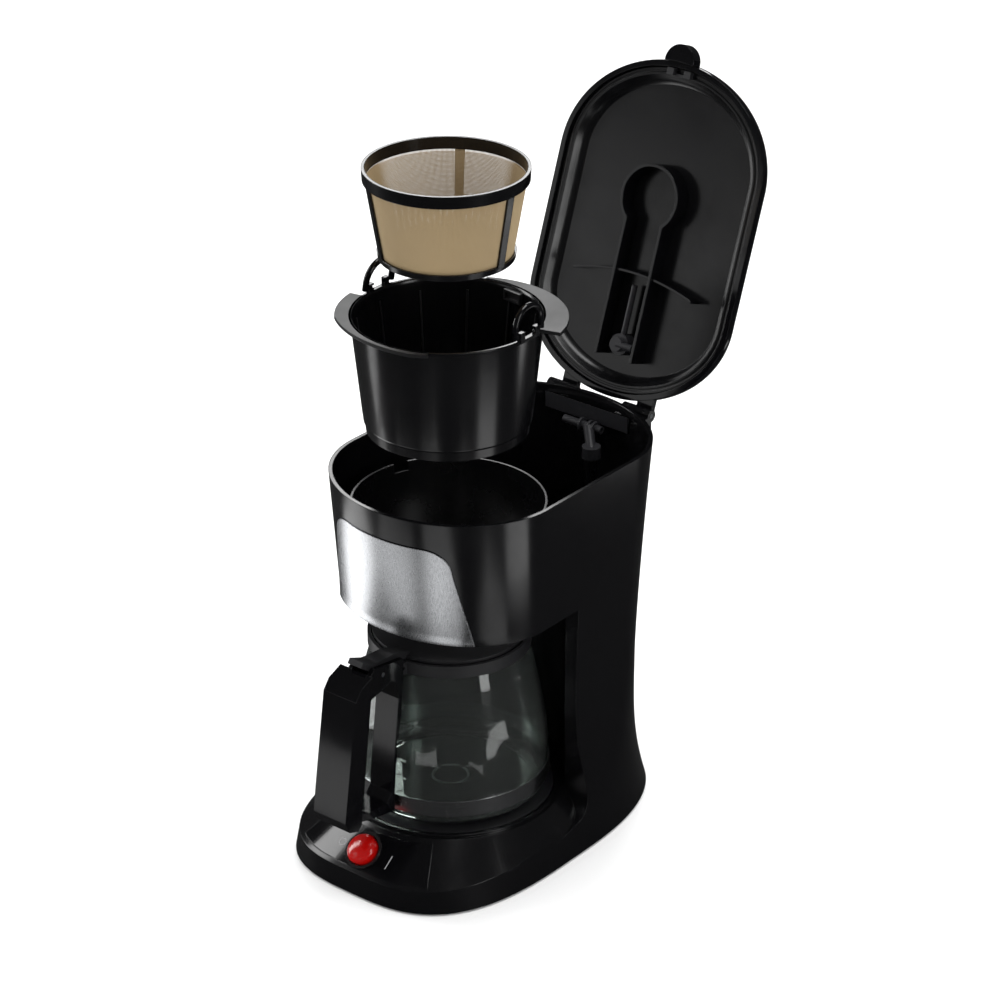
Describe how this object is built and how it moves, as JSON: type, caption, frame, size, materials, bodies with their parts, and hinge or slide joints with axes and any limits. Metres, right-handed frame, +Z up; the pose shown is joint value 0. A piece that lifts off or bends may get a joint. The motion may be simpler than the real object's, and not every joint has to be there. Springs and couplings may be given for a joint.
{
  "type": "drip_coffee_maker",
  "caption": "Drip coffee maker with hinged lid, removable filter basket and mesh filter, glass carafe on a warming plate, and a rear water tank",
  "frame": {"origin": "on the table, under the axis shared by the carafe, the brew well, the basket and the filter", "axes": "+X to the machine's right as seen by someone facing its front, +Y to its back, +Z up"},
  "size_m": [0.1688, 0.3586, 0.4663],
  "materials": {
    "housing_black": "black ABS moulding, polished",
    "gloss_black": "high gloss black ABS",
    "matte_black": "fine textured black polypropylene",
    "inner_black": "black polypropylene, smooth",
    "rubber": "moulded silicone or rubber",
    "zinc_steel": "zinc plated steel",
    "brushed_steel": "brushed stainless steel",
    "coated_plate": "non-stick coated pressed steel",
    "cast_aluminium": "as cast aluminium",
    "silicone_hose": "translucent silicone hose",
    "phenolic": "phenolic moulding",
    "ivory_plastic": "ivory nylon",
    "red_button": "translucent red polycarbonate",
    "glass": "clear borosilicate glass, smoked by what is behind it",
    "filter_mesh": "woven gold-brown nylon mesh"
  },
  "bodies": {
    "housing": {"housing": "housing_black", "bottom_cover": "matte_black", "rubber_feet": "rubber", "base_screws": "zinc_steel", "cord_gland": "rubber", "tank_floor": "inner_black", "tube_grommets": "rubber", "brew_well": "inner_black", "well_seal": "rubber", "warming_plate": "coated_plate", "plate_gasket": "rubber", "heater_element": "cast_aluminium", "heater_tube": "cast_aluminium", "heater_clamp": "zinc_steel", "clamp_screw": "zinc_steel", "thermostat": "phenolic", "thermal_fuse": "ivory_plastic", "check_valve": "ivory_plastic", "inlet_hose": "silicone_hose", "riser_hose": "silicone_hose", "riser_tube": "inner_black", "outlet_nozzle": "inner_black", "hinge_bracket": "matte_black", "hinge_pins": "zinc_steel", "front_panel": "brushed_steel", "control_panel": "gloss_black", "switch_bezel": "gloss_black", "switch_body": "matte_black", "terminal_block": "ivory_plastic"},
    "switch": {"switch_button": "red_button"},
    "lid": {"lid_shell": "gloss_black", "lid_liner": "inner_black", "lid_channel": "gloss_black", "lid_nozzle": "inner_black", "lid_latch": "matte_black"},
    "basket": {"basket": "housing_black", "basket_base": "housing_black", "valve_spring": "zinc_steel"},
    "valve": {"valve_plunger": "matte_black", "valve_seal": "rubber"},
    "loop_left": {"loop_left": "gloss_black"},
    "loop_right": {"loop_right": "gloss_black"},
    "filter": {"filter_frame": "housing_black", "filter_mesh": "filter_mesh"},
    "carafe": {"carafe_glass": "glass", "carafe_band": "brushed_steel", "carafe_collar": "matte_black", "carafe_handle": "gloss_black", "handle_grip": "gloss_black", "handle_screw": "zinc_steel", "carafe_lid_pin": "zinc_steel"},
    "carafe_lid": {"carafe_lid": "matte_black"}
  },
  "joints": [
    {"name": "lid_hinge", "type": "hinge", "parent": "housing", "child": "lid", "pos_m": [0, 0.1525, 0.2492], "axis": [1, 0, 0], "range_deg": [0, 110]},
    {"name": "basket_lift", "type": "slide", "parent": "housing", "child": "basket", "axis": [0, 0, 1], "range_m": [-0.12162, 0]},
    {"name": "filter_lift", "type": "slide", "parent": "basket", "child": "filter", "axis": [0, 0, 1], "range_m": [-0.10172, 0]},
    {"name": "drip_valve", "type": "slide", "parent": "basket", "child": "valve", "axis": [0, 0, 1], "range_m": [0, 0.003], "stiffness_N_per_m": 120, "springref_m": -0.004},
    {"name": "loop_right_hinge", "type": "hinge", "parent": "basket", "child": "loop_right", "pos_m": [0.058, 0.0045, 0.3637], "axis": [0, 1, 0], "range_deg": [-85, 0]},
    {"name": "loop_left_hinge", "type": "hinge", "parent": "basket", "child": "loop_left", "pos_m": [-0.058, 0.0045, 0.3637], "axis": [0, 1, 0], "range_deg": [0, 75]},
    {"name": "switch_rock", "type": "hinge", "parent": "housing", "child": "switch", "pos_m": [0, -0.084, 0.02414], "axis": [0, 0.7834, 0.6216], "range_deg": [0, 14]},
    {"name": "carafe_slide", "type": "slide", "parent": "housing", "child": "carafe", "axis": [0, -1, 0], "range_m": [0, 0.2]},
    {"name": "carafe_lid_hinge", "type": "hinge", "parent": "carafe", "child": "carafe_lid", "pos_m": [0, -0.074, 0.1495], "axis": [1, 0, 0], "range_deg": [0, 4]}
  ],
  "couplings": [
    {"joint": "basket_lift", "follows": "lid_hinge", "m_per_rad": -0.063338},
    {"joint": "filter_lift", "follows": "lid_hinge", "m_per_rad": -0.052973}
  ]
}
